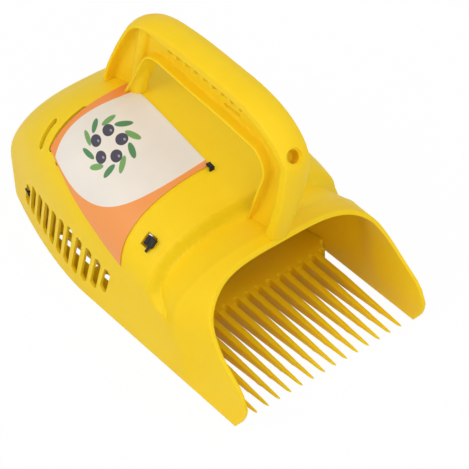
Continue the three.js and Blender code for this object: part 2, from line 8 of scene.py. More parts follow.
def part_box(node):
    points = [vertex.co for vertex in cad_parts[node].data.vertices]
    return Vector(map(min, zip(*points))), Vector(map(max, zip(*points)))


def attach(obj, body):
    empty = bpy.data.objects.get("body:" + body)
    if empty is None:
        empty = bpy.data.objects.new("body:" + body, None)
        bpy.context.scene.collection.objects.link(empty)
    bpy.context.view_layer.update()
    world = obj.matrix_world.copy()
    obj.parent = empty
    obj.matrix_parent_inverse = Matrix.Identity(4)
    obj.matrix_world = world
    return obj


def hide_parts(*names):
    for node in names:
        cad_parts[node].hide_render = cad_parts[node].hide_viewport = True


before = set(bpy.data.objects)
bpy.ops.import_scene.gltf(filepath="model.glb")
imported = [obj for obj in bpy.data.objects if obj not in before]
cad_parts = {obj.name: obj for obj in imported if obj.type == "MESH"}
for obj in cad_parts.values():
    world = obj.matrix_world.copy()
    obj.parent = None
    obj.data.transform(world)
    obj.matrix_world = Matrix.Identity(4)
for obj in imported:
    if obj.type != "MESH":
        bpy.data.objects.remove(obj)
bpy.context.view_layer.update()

bl_info = {
    "name": "Berry rake dressing",
    "version": (1, 0, 0),
    "blender": (4, 5, 0),
    "location": "3D View > Sidebar > Rake",
    "description": "Models and finishes the mouldings, the label and the ties of a one-hand berry rake",
    "category": "Object",
}

MM = 0.001
REAR_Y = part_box("body_shell")[1][1]

# The moulding's main sizes in millimetres, with its powers and shares. Reach runs from the tine tips back.
REAR_REACH = 282.3
NOSE_REACH = 7.0
FOOT_HALF_WIDTH = 73.6
HANDLE_HEIGHT = 182.0
RIM_TOP_REACH = 46.0
RIM_HEIGHT = 82.8
TAPER_REACH = 160.0
TAPER_DEPTH = 27.8
TAPER_POWER = 1.62
REAR_EDGE_HEIGHT = 22.5
REAR_CORNER_RUN = 16.0
REAR_CORNER_DEPTH = 14.0
DOME_REACH = 198.5
DOME_POWER = 1.65
BLEND_REACH = 5.0
WALL_SHARE = 0.14

# The valley across the hood: its crest, its crease, where it ends behind, its depths and its lower ends
CREST_REACH = 55.0
CREST_DRIFT = 7.0
CREASE_REACH = 80.0
STEP_LENGTH = 3.8
VALLEY_DEPTH = 8.4
VALLEY_SIDE_DEPTH = 6.6
VALLEY_FOOT = 46.0
VALLEY_FOOT_RISE = 5.0
VALLEY_FOOT_LENGTH = 3.6
VALLEY_CORNER_REACH = 66.0
VALLEY_CORNER_LENGTH = 9.0

# Sections front to rear: reach, half width, height, spring share, squareness
STATIONS = (
    (43.0, 72.8, 82.8, 0.20, 4.10),
    (57.0, 75.8, 83.6, 0.42, 2.76),
    (80.3, 75.5, 88.2, 0.55, 2.52),
    (92.0, 75.5, 95.0, 0.55, 2.50),
    (110.6, 75.3, 100.4, 0.55, 2.46),
    (150.0, 75.0, 107.6, 0.53, 2.50),
    (178.0, 74.6, 112.2, 0.52, 2.62),
    (198.5, 74.2, 111.0, 0.51, 2.85),
)

# Side view of the rim: shares of its run and of its height, foot to top
RIM_ALONG = (0.19, 0.05, 0.0, 0.06, 0.115, 0.25, 0.46, 0.69, 0.84, 1.0)
RIM_UP = (0.0, 0.13, 0.26, 0.345, 0.4, 0.465, 0.575, 0.735, 0.885, 1.0)

# Side view of the handle's outer and inner flange, front foot to rear foot, and the outer one's width
HANDLE_FRONT = 29.5
HANDLE_RUN = 186.0
PATH_STEPS = 90
FOOT_RUN = 6.0
OUTER_ALONG = (0.104, 0.076, 0.042, 0.010, 0.0, 0.044, 0.119, 0.222, 0.356, 0.514, 0.667, 0.755, 0.816,
               0.861, 0.917, 0.966, 0.992, 1.0)
OUTER_UP = (0.432, 0.515, 0.614, 0.743, 0.832, 0.901, 0.952, 0.982, 0.993, 1.0, 0.994, 0.972, 0.932, 0.87,
            0.776, 0.68, 0.612, 0.544)
OUTER_WIDTH = (0.66, 0.78, 0.92, 1, 1, 1, 1, 1, 1, 1, 0.98, 0.93, 0.9, 0.88, 0.86, 0.86, 0.86, 0.86)
INNER_ALONG = (0.245, 0.19, 0.147, 0.12, 0.155, 0.224, 0.333, 0.531, 0.66, 0.704, 0.744, 0.788, 0.828,
               0.882, 0.927)
INNER_UP = (0.44, 0.545, 0.65, 0.742, 0.808, 0.821, 0.835, 0.851, 0.865, 0.861, 0.836, 0.764, 0.689,
            0.595, 0.496)

# The handle's section: the crown, the skirts and where along the handle they fade, and the other flange
CROWN_RISE = 2.6
SKIRT_DEPTH = 6.0
SKIRT_END = 0.60
SKIRT_FADE = 0.12
SKIRT_INSIDE = (0.8, 0.78)
FLANGE_DEPTH = 2.2
WEB_THICKNESS = 3.0
INNER_WIDTHS = (0.3, 0.88)
INNER_WIDENING = 0.16
INNER_HALF_DEPTH = 0.8
INNER_CROWN = 1.0

# The column in the rear leg as (reach, height) of its ends, and the ribs, which start past the front leg
COLUMN_RADIUS = 5.5
COLUMN_FOOT = (190.5, 104)
COLUMN_TOP = (172.5, 175)
RIB_COUNT = 9
FRONT_LEG_STEPS = 20
FIRST_RIB = 73.6
RIB_PITCH = 8.7
RIB_SIZE = (9.2, 2.6, 17)
RIB_SLANT = 7

# The slit in the web as (reach, height) of its ends, width and half depth
WEB_SLIT = ((82.5, 156.5), (95.5, 156.5), 2.6, 6)

# The hanging hole: a point and direction of its axis, and radius, depth and start of its boss and its steps
HOLE_POINT = (-2.0, 32.5, 156.0)
HOLE_INWARDS = (0, 0.835, -0.55)
HOLE_BOSS = (6.4, 11.0, -2.0)
HOLE_STEPS = ((4.3, 8.6, 6.0), (5.4, 0.9, 6.0))

# The space under the roof that the handle's feet stay out of
INSIDE_REACH = (20, 240)
INSIDE_INSET = 1.2

# Tines: (reach, size) pairs, the lift of their undersides, their squareness and the small step near each tip
TINE_LENGTH = 88.0
TINE_CROWDING = 1.4
TINE_WIDTHS = ((0, 0.5), (1, 1.0), (4, 1.6), (14, 2.1), (18, 2.2), (21, 2.7), (30, 3.1), (45, 4.0),
               (56, 4.6), (88, 4.7))
TINE_DEPTHS = ((0, 0.5), (1.2, 1.2), (5, 1.9), (8, 2.3), (30, 4.6), (55, 7.4), (75, 9.1), (84, 9.6),
               (88, 9.6))
TINE_LIFT = 3.6
TINE_LIFT_END = 75
TIP_RISE = 0.8
TIP_RISE_END = 5
TINE_SQUARENESS = 0.28
TINE_STEP = 0.4
TINE_STEP_REACH = 19.5
TINE_STEP_LENGTH = 1.8
TINE_STEP_SIDE = -0.4

# The floor, the ramp at its front and its rows of slots
FLOOR_FRONT = 79.5
FLOOR_FRONT_HEIGHT = 9.64
FLOOR_THICKNESS = 3.6
FLOOR_PLAY = 0.3
RAMP_START = 8
RAMP_LENGTH = 34
SLOT_ROWS = 3
SLOT_FRONT = 120
SLOT_REAR_MARGIN = 8
SLOT_BRIDGE = 6
SLOT_WIDTH = 5.8

# Rounded gaps between the tines, and the outer gaps beside the cheeks, which widen to the front like a fan
ROOT_REACH = 84.2
ROOT_GAP = 4.4
ROOT_START = 70
OUTER_GAP_ACROSS = 69.2
OUTER_GAP_REACH = 91.0
FAN_REACH = 66
FAN_ACROSS = (63.2, 66.2, 69.2)

# Side vents: first and last reach, heights of their lower and upper ends at the turning points, and slant
SIDE_VENT_COUNT = 11
SIDE_VENT_REACH = (132, 236)
LOWEST_FOOT_VENT = 3
SIDE_VENT_FEET = (18, 11, 15)
HIGHEST_TOP_VENT = 4
SIDE_VENT_TOPS = (42, 51, 43)
LAST_VENT_TOP = 37
SIDE_VENT_SLANT = 0.14

# Shoulder vents: reach, and the outer and inner end's distance from the middle
SHOULDER_VENTS = ((211.0, 64.5, 51.0), (199.0, 65.5, 36.0), (187.5, 68.3, 48.0))
SHOULDER_VENT_WIDTH = 5.0

# The window and the slit at the label's corner: reach and distance from the middle, and size
WINDOW = (96.5, 63.2)
WINDOW_SIZE = (9, 8, 20)
LABEL_CORNER = (107.5, 4.8)
CORNER_SLIT_SIZE = (4.0, 1.6, 20)

# The label: its run, its outer edge as section shares and its inner edge's distance from the middle
LABEL_FRONT = 110.8
LABEL_LENGTH = 87.4
LABEL_OUTER_EDGE = (0.149, 0.262)
LABEL_EDGE_POWER = 1.15
LABEL_INNER_EDGE = (4.0, 1.9)
LABEL_PROUD = 0.35
LABEL_THICKNESS = 0.4

# Blocks of the clip in the window and of the strap over the label's corner: size, centre, bevel
CLIP_BLOCKS = (
    ((6.4, 6.6, 3), (0.4, -2.4, 2.1), 0.5),
    ((3.4, 1, 7.6), (0, -3.2, -0.2), 0.2),
    ((3.4, 3.2, 1), (0, -4.3, -3.5), 0.2),
    ((5, 1.8, 1), (-4, -3.4, 1.6), 0.3),
    ((3.6, 1.2, 0.8), (0, -1.2, 3.8), 0.2),
)
STRAP_BLOCKS = (
    ((3.4, 5, 1), (0, 2, 1.9), 0.25),
    ((3.4, 1, 5), (0, 0, -0.1), 0.2),
)
BAR_BEVEL = 0.2

# The label's design in shares of the label: the cream ellipses, and a ring of leaves round a ring of dots
FRONT_BAND_ELLIPSE = ((0.88, 0.88), (0.84, 0.86))
REAR_BAND_ELLIPSE = ((-0.2, 0.45), (1.155, 1.6))
MOTIF_CENTRE = (0.60, 0.60)
LEAF_COUNT = 10
LEAF_RING = 0.20
LEAF_TILT = 0.9
LEAF_HALF_SIZES = (0.074, 0.026)
DOT_COUNT = 5
DOT_RING = 0.115
DOT_HALF_SIZE = 0.052
SHINE_SHIFT = (-0.015, 0.016)
SHINE_HALF_SIZES = (0.014, 0.011)
PRINT_SOFTNESS = 0.004

# Depths of the reliefs in metres: the moulding's grain and the label's creases
GRAIN_DEPTH = 0.00012
CREASE_DEPTH = 0.0006

# The studio: lamps as name, place, size and power, the world's light, and how white the floor shows
LAMPS = (
    ("key", (-1.3, 0.1, 1.2), 1.0, 9.0),
    ("front", (-0.6, -1.3, 1.1), 1.0, 8.0),
    ("fill", (1.4, -0.6, 1.0), 1.6, 4.0),
    ("top", (0.2, -0.4, 1.9), 1.2, 3.2),
)
LAMP_AIM = (0, 0, 0.08)
WORLD_COLOUR = (1.0, 0.99, 0.97, 1)
WORLD_STRENGTH = 0.52
FLOOR_WHITE = 0.97

# The camera: its direction in degrees, and the pixel at which the picture shows a point amid the tine tips
VIEW_AZIMUTH = -40.4
VIEW_ELEVATION = 44.9
VIEW_DISTANCE = 1500.0
PIXELS_PER_MM = 1.615
PICTURE_SIZE = 469
TIPS_POINT = (0, 0, 5)
TIPS_PIXEL = (330.8, 368.4)
SENSOR_WIDTH = 36


# Plain maths of the moulding
def clamp01(value):
    """A value held between 0 and 1"""
    return min(1.0, max(0.0, value))


def mix(start, end, share):
    """The value at a share of the way from start to end"""
    return start + (end - start) * share


def eased(value):
    """A share from 0 to 1 with soft ends"""
    value = clamp01(value)
    return value * value * (3 - 2 * value)


def between(pairs, at):
    """The value at a place, mixed between (place, value) pairs"""
    for before, after in zip(pairs, pairs[1:]):
        if at < after[0]:
            return mix(before[1], after[1], (at - before[0]) / (after[0] - before[0]))
    return pairs[-1][1]


def curve_value(before, start, end, after, t):
    """One coordinate of a smooth line, from start at 0 to end at 1"""
    straight = 2 * start + (end - before) * t
    bend = (2 * before - 5 * start + 4 * end - after) * t * t
    twist = (3 * start - before - 3 * end + after) * t ** 3
    return 0.5 * (straight + bend + twist)


def spline(values, count):
    """Points evenly spread along a smooth line through the given points"""
    fine = []
    last = len(values) - 1
    steps = 24
    for step in range(last * steps + 1):
        at = step / steps
        k = min(last - 1, int(at))
        around = zip(values[max(0, k - 1)], values[k], values[k + 1], values[min(last, k + 2)])
        fine.append(tuple(curve_value(*four, at - k) for four in around))
    lengths = [0.0]
    for p, q in zip(fine, fine[1:]):
        lengths.append(lengths[-1] + math.dist(p[:2], q[:2]))
    points = []
    k = 0
    for step in range(count + 1):
        target = lengths[-1] * step / count
        while k < len(fine) - 2 and lengths[k + 1] < target:
            k += 1
        share = (target - lengths[k]) / max(1e-9, lengths[k + 1] - lengths[k])
        points.append(tuple(mix(p, q, share) for p, q in zip(fine[k], fine[k + 1])))
    return points


RIM_RUN = NOSE_REACH + RIM_TOP_REACH
RIM = spline([(a * RIM_RUN - NOSE_REACH, u * RIM_HEIGHT) for a, u in zip(RIM_ALONG, RIM_UP)], 200)


def rim_reach(height):
    """How far back the rim lies at a height"""
    for before, after in zip(RIM, RIM[1:]):
        if after[1] >= height:
            return mix(before[0], after[0], (height - before[1]) / max(1e-6, after[1] - before[1]))
    return RIM[-1][0]


def station_at(reach):
    """Section values at a reach, mixed between the set sections"""
    if reach <= STATIONS[0][0]:
        return STATIONS[0]
    for before, after in zip(STATIONS, STATIONS[1:]):
        if reach < after[0]:
            share = (reach - before[0]) / (after[0] - before[0])
            return tuple(mix(a, b, share) for a, b in zip(before, after))
    return STATIONS[-1]


def valley_share(reach, height):
    """How deep the valley is at a place: 0 outside it and 1 in its crease"""
    corner = clamp01((reach - VALLEY_CORNER_REACH) / (CREASE_REACH - VALLEY_CORNER_REACH)) ** 2
    foot = VALLEY_FOOT + VALLEY_FOOT_RISE * corner
    if height < foot:
        return 0.0
    crest = CREST_REACH + CREST_DRIFT * clamp01((RIM_HEIGHT - height) / (RIM_HEIGHT - VALLEY_FOOT))
    if reach < CREASE_REACH:
        share = clamp01((reach - crest) / (CREASE_REACH - crest))
    else:
        share = 1 - eased((reach - CREASE_REACH) / STEP_LENGTH)
    return share * eased((height - foot) / mix(VALLEY_FOOT_LENGTH, VALLEY_CORNER_LENGTH, corner))


def section_at(reach, inset=0.0):
    """Half width, foot half width, top, spring height, squareness and reach of a section of the scoop"""
    around = [station_at(reach + share * BLEND_REACH) for share in (-1.0, -0.5, 0.0, 0.5, 1.0)]
    _, half, height, spring_share, squareness = (sum(values) / len(around) for values in zip(*around))
    end = REAR_REACH - inset
    taper = clamp01((reach - TAPER_REACH) / (end - TAPER_REACH)) ** TAPER_POWER
    corner = clamp01((reach - end + REAR_CORNER_RUN) / REAR_CORNER_RUN)
    dome = clamp01((reach - DOME_REACH) / (end - DOME_REACH))
    drawn = inset + TAPER_DEPTH * taper + REAR_CORNER_DEPTH * (1 - math.sqrt(1 - corner * corner))
    top = mix(REAR_EDGE_HEIGHT, height, (1 - dome ** DOME_POWER) ** (1 / DOME_POWER)) - inset
    return half - drawn, FOOT_HALF_WIDTH - drawn, top, top * spring_share, squareness, reach


def section_point(section, share):
    """A point (x, z) of a section: share 0 is the left foot, 1 the right foot"""
    half, foot, top, spring, squareness, reach = section
    if share < WALL_SHARE:
        up = share / WALL_SHARE
        return -mix(foot, half, up), spring * up
    if share > 1 - WALL_SHARE:
        up = (1 - share) / WALL_SHARE
        return mix(foot, half, up), spring * up
    angle = math.pi * (share - WALL_SHARE) / (1 - 2 * WALL_SHARE)
    across = -math.cos(angle)
    power = 2 / squareness
    x = half * math.copysign(abs(across) ** power, across)
    rise = abs(math.sin(angle)) ** power
    z = spring + (top - spring) * rise
    depth = valley_share(reach, z)
    return x * (1 - VALLEY_SIDE_DEPTH * depth / half), z - VALLEY_DEPTH * depth * rise


def share_across(reach, across):
    """The section share at a distance from the middle, on the left of the arch"""
    section = section_at(reach)
    low, high = WALL_SHARE, 0.5
    for _ in range(30):
        middle = (low + high) / 2
        if -section_point(section, middle)[0] > across:
            low = middle
        else:
            high = middle
    return low


def metres(x, reach, z):
    """A point of the rake in the frame, from millimetres measured from the tine tips"""
    return Vector((x * MM, REAR_Y + (reach - REAR_REACH) * MM, z * MM))


def roof_point(reach, share, inset=0.0):
    """A point on the scoop, or inside its skin by an inset"""
    x, z = section_point(section_at(reach, inset), share)
    return metres(x, reach, z)


def roof_frame(reach, share):
    """The frame on the outside of the scoop: x up the section, y to the rear, z outwards"""
    small_share, small_run = 0.004, 2
    up = (roof_point(reach, share + small_share) - roof_point(reach, share - small_share)).normalized()
    rearward = roof_point(reach + small_run, share) - roof_point(reach - small_run, share)
    out = up.cross(rearward).normalized()
    turn = Matrix((up, out.cross(up), out)).transposed().to_4x4()
    return Matrix.Translation(roof_point(reach, share)) @ turn


# Helpers for modelling
def deselect_all():
    """Leaves edit mode and selects nothing"""
    if bpy.context.object and bpy.context.object.mode != "OBJECT":
        bpy.ops.object.mode_set(mode="OBJECT")
    bpy.ops.object.select_all(action="DESELECT")


def pick(piece):
    """Selects one piece alone and makes it the active one"""
    deselect_all()
    piece.select_set(True)
    bpy.context.view_layer.objects.active = piece
    return piece


def settle(piece):
    """Puts a piece's place and turn into its mesh"""
    pick(piece)
    bpy.ops.object.transform_apply(location=True, rotation=True, scale=True)
    return piece


def copied(piece, shift=(0, 0, 0), scale=(1, 1, 1)):
    """A copy of a piece with its own mesh, moved or mirrored"""
    copy = piece.copy()
    copy.data = piece.data.copy()
    bpy.context.scene.collection.objects.link(copy)
    copy.location = shift
    copy.scale = scale
    return settle(copy)


def merge(pieces, name):
    """Joins several pieces into the first one"""
    pick(pieces[0])
    for piece in pieces:
        piece.select_set(True)
    if len(pieces) > 1:
        bpy.ops.object.join()
    pieces[0].name = name
    return pieces[0]


def apply_modifier(piece, kind, **settings):
    """Adds a modifier, sets it and applies it"""
    pick(piece)
    modifier = piece.modifiers.new(kind.lower(), kind)
    for key, value in settings.items():
        setattr(modifier, key, value)
    bpy.ops.object.modifier_apply(modifier=modifier.name)
    return piece


def combine(piece, tool, operation="DIFFERENCE"):
    """Cuts a tool out of a piece, or with UNION joins it to the piece, and removes the tool"""
    apply_modifier(piece, "BOOLEAN", operation=operation, solver="EXACT", object=tool)
    bpy.data.objects.remove(tool, do_unlink=True)
    return piece


def edit(piece, whole=False):
    """Opens a piece in edit mode, with nothing selected or with the whole of it"""
    pick(piece)
    bpy.ops.object.mode_set(mode="EDIT")
    bpy.ops.mesh.select_mode(type="VERT")
    bpy.ops.mesh.select_all(action="SELECT" if whole else "DESELECT")


def close_edit(piece):
    """Leaves edit mode"""
    bpy.ops.object.mode_set(mode="OBJECT")
    return piece


def select_points(piece, test):
    """Selects the mesh points that pass a test, in edit mode"""
    bpy.ops.mesh.select_all(action="DESELECT")
    bpy.ops.object.mode_set(mode="OBJECT")
    for vertex in piece.data.vertices:
        vertex.select = test(vertex.co)
    bpy.ops.object.mode_set(mode="EDIT")


def cap(piece, *reaches):
    """Closes an open piece with a face at each of the given reaches, in edit mode"""
    for reach in reaches:
        y = metres(0, reach, 0).y
        select_points(piece, lambda co: abs(co.y - y) < 1e-6)
        bpy.ops.mesh.edge_face_add()


def weld(piece):
    """Merges the mesh points that lie on each other, and stays in edit mode"""
    edit(piece, whole=True)
    bpy.ops.mesh.remove_doubles(threshold=1e-6)


def turn_outwards(piece):
    """Turns all faces of a closed piece outwards"""
    edit(piece, whole=True)
    bpy.ops.mesh.normals_make_consistent(inside=False)
    return close_edit(piece)


def thicken(piece, shift):
    """Extrudes a flat piece into a closed one"""
    edit(piece, whole=True)
    bpy.ops.mesh.extrude_region_move(TRANSFORM_OT_translate={"value": shift})
    return turn_outwards(piece)


def smooth(piece, angle=35.0):
    """Shades a piece smooth, apart from edges sharper than an angle in degrees"""
    pick(piece)
    bpy.ops.object.shade_smooth_by_angle(angle=math.radians(angle))
    return piece


def laid_grid(name, columns, rows, place):
    """A grid primitive whose points are laid onto a surface: place takes shares across and along"""
    deselect_all()
    bpy.ops.mesh.primitive_grid_add(x_subdivisions=columns, y_subdivisions=rows, size=1)
    piece = bpy.context.object
    piece.name = name
    for vertex in piece.data.vertices:
        vertex.co = place(vertex.co.x + 0.5, vertex.co.y + 0.5)
    return piece


def block(size, centre, bevel=0.0):
    """A block with its edges bevelled, in its own frame"""
    deselect_all()
    bpy.ops.mesh.primitive_cube_add(size=1, location=[c * MM for c in centre])
    piece = bpy.context.object
    piece.scale = [s * MM for s in size]
    settle(piece)
    if bevel:
        edit(piece, whole=True)
        bpy.ops.mesh.bevel(offset=bevel * MM, segments=2)
        close_edit(piece)
    return piece


def rod(radius, length, middle, direction):
    """A round bar about a middle point, along a direction"""
    deselect_all()
    bpy.ops.mesh.primitive_cylinder_add(vertices=40, radius=radius * MM, depth=length)
    piece = bpy.context.object
    turn = Vector((0, 0, 1)).rotation_difference(direction)
    piece.matrix_world = Matrix.Translation(middle) @ turn.to_matrix().to_4x4()
    return settle(piece)


def slot_cutter(start, end, width, depth, sides=32):
    """A bar with two round ends, between two points of a plane, as deep as told on both sides of it"""
    deselect_all()
    along = Vector(end) - Vector(start)
    bpy.ops.mesh.primitive_cylinder_add(vertices=sides, radius=width * MM / 2, depth=2 * depth * MM)
    piece = bpy.context.object
    edit(piece)
    select_points(piece, lambda co: co.x > 1e-6)
    bpy.ops.transform.translate(value=(along.length * MM, 0, 0))
    close_edit(piece)
    turn = Matrix.Rotation(math.atan2(along.y, along.x), 4, "Z")
    piece.matrix_world = Matrix.Translation((start[0] * MM, start[1] * MM, 0)) @ turn
    return settle(piece)


def side_view(piece):
    """Turns a piece made flat, with x along the reach and y up, to stand in the middle plane"""
    turn = Matrix(((0, 0, 1, 0), (1, 0, 0, 0), (0, 1, 0, 0), (0, 0, 0, 1)))
    piece.matrix_world = Matrix.Translation(metres(0, 0, 0)) @ turn @ piece.matrix_world
    return settle(piece)


def floor_view(piece, across=0.0):
    """Turns a piece made flat, with x along the reach, into the floor's plan, so far from the middle"""
    turn = Matrix.Rotation(math.pi / 2, 4, "Z")
    piece.matrix_world = Matrix.Translation(metres(across, 0, 0)) @ turn
    return settle(piece)


def swept_strip(name, line, widths, contour):
    """A closed strip along a side view line; contour gives (share across, height) round its section"""
    count = len(line) - 1
    sides = len(contour(0.0))
    end_span = 8 * MM

    def place(u, v):
        k = round(v * count)
        before, after = line[max(0, k - 1)], line[min(count, k + 1)]
        length = math.dist(before, after)
        tangent = ((after[0] - before[0]) / length, (after[1] - before[1]) / length)
        across, height = contour(v)[round(u * sides) % sides]
        return metres(across * widths(v), line[k][0] - tangent[1] * height, line[k][1] + tangent[0] * height)

    piece = laid_grid(name, sides, count, place)
    weld(piece)
    bpy.ops.mesh.select_all(action="DESELECT")
    bpy.ops.mesh.select_non_manifold()
    bpy.ops.object.mode_set(mode="OBJECT")
    rims = [tuple(vertex.co) for vertex in piece.data.vertices if vertex.select]
    bpy.ops.object.mode_set(mode="EDIT")
    for end in (line[0], line[-1]):
        here = metres(0, end[0], end[1])
        near = [co for co in rims if math.hypot(co[1] - here.y, co[2] - here.z) < end_span]
        select_points(piece, lambda co: tuple(co) in near)
        bpy.ops.mesh.edge_face_add()
    return turn_outwards(piece)


def finish_piece(piece, material, slot, *nodes):
    """Gives a piece its finish and its body, and hides the CAD nodes it stands for; the slot is not used"""
    piece.data.materials.clear()
    piece.data.materials.append(material)
    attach(piece, "root")
    if nodes:
        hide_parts(*nodes)
    return piece


# Finishes
def link(tree, output, socket):
    """Links a node's output to a socket"""
    tree.links.new(output, socket)


def set_values(node, **values):
    """Sets a node's own properties, and its sockets by name with underscores for spaces"""
    for key, value in values.items():
        if hasattr(node, key):
            setattr(node, key, value)
        else:
            node.inputs[key.replace("_", " ")].default_value = value
    return node


def new_node(tree, kind, **values):
    """A new node with its values set"""
    return set_values(tree.nodes.new(kind), **values)


def maths_node(tree, operation, *terms, **values):
    """A maths node whose sockets take outputs of other nodes or plain numbers"""
    node = new_node(tree, "ShaderNodeMath", operation=operation, **values)
    for socket, term in zip(node.inputs, terms):
        if isinstance(term, (int, float)):
            socket.default_value = term
        else:
            link(tree, term, socket)
    return node.outputs[0]


def group_of(name, inputs, outputs):
    """An empty node group with float, colour or vector sockets"""
    tree = bpy.data.node_groups.new(name, "ShaderNodeTree")
    for label, kind, default in inputs:
        socket = tree.interface.new_socket(name=label, in_out="INPUT", socket_type=kind)
        if default is not None:
            socket.default_value = default
    for label, kind in outputs:
        tree.interface.new_socket(name=label, in_out="OUTPUT", socket_type=kind)
    return tree, tree.nodes.new("NodeGroupInput"), tree.nodes.new("NodeGroupOutput")


def new_material(name):
    """A new material, its nodes and its shader"""
    material = bpy.data.materials.new(name)
    material.use_nodes = True
    return material, material.node_tree, material.node_tree.nodes["Principled BSDF"]


def moulding_group():
    """Fine grain, soft cloudiness and scuffs of a moulded plastic"""
    existing = bpy.data.node_groups.get("moulding_skin")
    if existing:
        return existing
    tree, source, result = group_of(
        "moulding_skin",
        (("Vector", "NodeSocketVector", None), ("Color", "NodeSocketColor", (1, 1, 1, 1)),
         ("Deep Color", "NodeSocketColor", (1, 1, 1, 1)), ("Roughness", "NodeSocketFloat", 0.4)),
        (("Color", "NodeSocketColor"), ("Roughness", "NodeSocketFloat"), ("Height", "NodeSocketFloat")))
    clouds = new_node(tree, "ShaderNodeTexNoise", Scale=22.0, Detail=4.0, Roughness=0.55)
    grain = new_node(tree, "ShaderNodeTexNoise", Scale=900.0, Detail=3.0, Roughness=0.6)
    scuffs = new_node(tree, "ShaderNodeTexNoise", Scale=60.0, Detail=6.0, Roughness=0.7, Distortion=1.5)
    for texture in (clouds, grain, scuffs):
        link(tree, source.outputs["Vector"], texture.inputs["Vector"])
    cloud_range = new_node(tree, "ShaderNodeMapRange", From_Min=0.35, From_Max=0.75)
    link(tree, clouds.outputs["Fac"], cloud_range.inputs["Value"])
    blend = new_node(tree, "ShaderNodeMix", data_type="RGBA")
    link(tree, cloud_range.outputs["Result"], blend.inputs["Factor"])
    link(tree, source.outputs["Color"], blend.inputs["A"])
    link(tree, source.outputs["Deep Color"], blend.inputs["B"])
    link(tree, blend.outputs["Result"], result.inputs["Color"])
    scuff_range = new_node(tree, "ShaderNodeMapRange", From_Min=0.3, From_Max=0.8, To_Min=-0.05, To_Max=0.09)
    link(tree, scuffs.outputs["Fac"], scuff_range.inputs["Value"])
    scuffed = scuff_range.outputs["Result"]
    rough = maths_node(tree, "ADD", source.outputs["Roughness"], scuffed, use_clamp=True)
    link(tree, rough, result.inputs["Roughness"])
    relief = maths_node(tree, "MULTIPLY_ADD", clouds.outputs["Fac"], 0.12, grain.outputs["Fac"])
    link(tree, relief, result.inputs["Height"])
    return tree


def lay_skin(tree, shader, colour, deep_colour, roughness):
    """Lays the moulding's skin on a material, and gives its colour, height and coordinates"""
    place = new_node(tree, "ShaderNodeTexCoord").outputs["Object"]
    skin = new_node(tree, "ShaderNodeGroup", node_tree=moulding_group(), Color=(*colour, 1),
                    Deep_Color=(*deep_colour, 1), Roughness=roughness)
    link(tree, place, skin.inputs["Vector"])
    link(tree, skin.outputs["Roughness"], shader.inputs["Roughness"])
    return skin.outputs["Color"], skin.outputs["Height"], place


def lay_relief(tree, shader, height, strength, distance):
    """Makes a height into a relief of a material's surface"""
    relief = new_node(tree, "ShaderNodeBump", Strength=strength, Distance=distance)
    link(tree, height, relief.inputs["Height"])
    link(tree, relief.outputs["Normal"], shader.inputs["Normal"])


def plastic(name, colour, deep_colour, roughness, bump, glow=0.0, glow_depth=0.004):
    """A moulded plastic with its own colours, grain and inner glow"""
    material, tree, shader = new_material(name)
    clouded, height, _ = lay_skin(tree, shader, colour, deep_colour, roughness)
    link(tree, clouded, shader.inputs["Base Color"])
    lay_relief(tree, shader, height, bump, GRAIN_DEPTH)
    set_values(shader, Specular_IOR_Level=0.2, Subsurface_Weight=glow, Subsurface_Scale=glow_depth,
               Subsurface_Radius=(1.0, 0.55, 0.1))
    return material


def ellipse_group():
    """A soft-edged ellipse on the label: centre, turn and half sizes in label shares"""
    existing = bpy.data.node_groups.get("ellipse_mask")
    if existing:
        return existing
    tree, source, result = group_of(
        "ellipse_mask",
        (("Vector", "NodeSocketVector", None), ("Centre", "NodeSocketVector", None),
         ("Turn", "NodeSocketFloat", 0.0), ("Half Sizes", "NodeSocketVector", None),
         ("Softness", "NodeSocketFloat", 0.06)),
        (("Mask", "NodeSocketFloat"),))
    away = new_node(tree, "ShaderNodeVectorMath", operation="SUBTRACT")
    link(tree, source.outputs["Vector"], away.inputs[0])
    link(tree, source.outputs["Centre"], away.inputs[1])
    turned = new_node(tree, "ShaderNodeVectorRotate", rotation_type="Z_AXIS")
    link(tree, away.outputs[0], turned.inputs["Vector"])
    link(tree, source.outputs["Turn"], turned.inputs["Angle"])
    scaled = new_node(tree, "ShaderNodeVectorMath", operation="DIVIDE")
    link(tree, turned.outputs[0], scaled.inputs[0])
    link(tree, source.outputs["Half Sizes"], scaled.inputs[1])
    length = new_node(tree, "ShaderNodeVectorMath", operation="LENGTH")
    link(tree, scaled.outputs[0], length.inputs[0])
    edge = new_node(tree, "ShaderNodeMapRange", interpolation_type="SMOOTHSTEP", From_Min=1.0)
    link(tree, maths_node(tree, "SUBTRACT", 1.0, source.outputs["Softness"]), edge.inputs["From Max"])
    link(tree, length.outputs["Value"], edge.inputs["Value"])
    link(tree, edge.outputs["Result"], result.inputs["Mask"])
    return tree


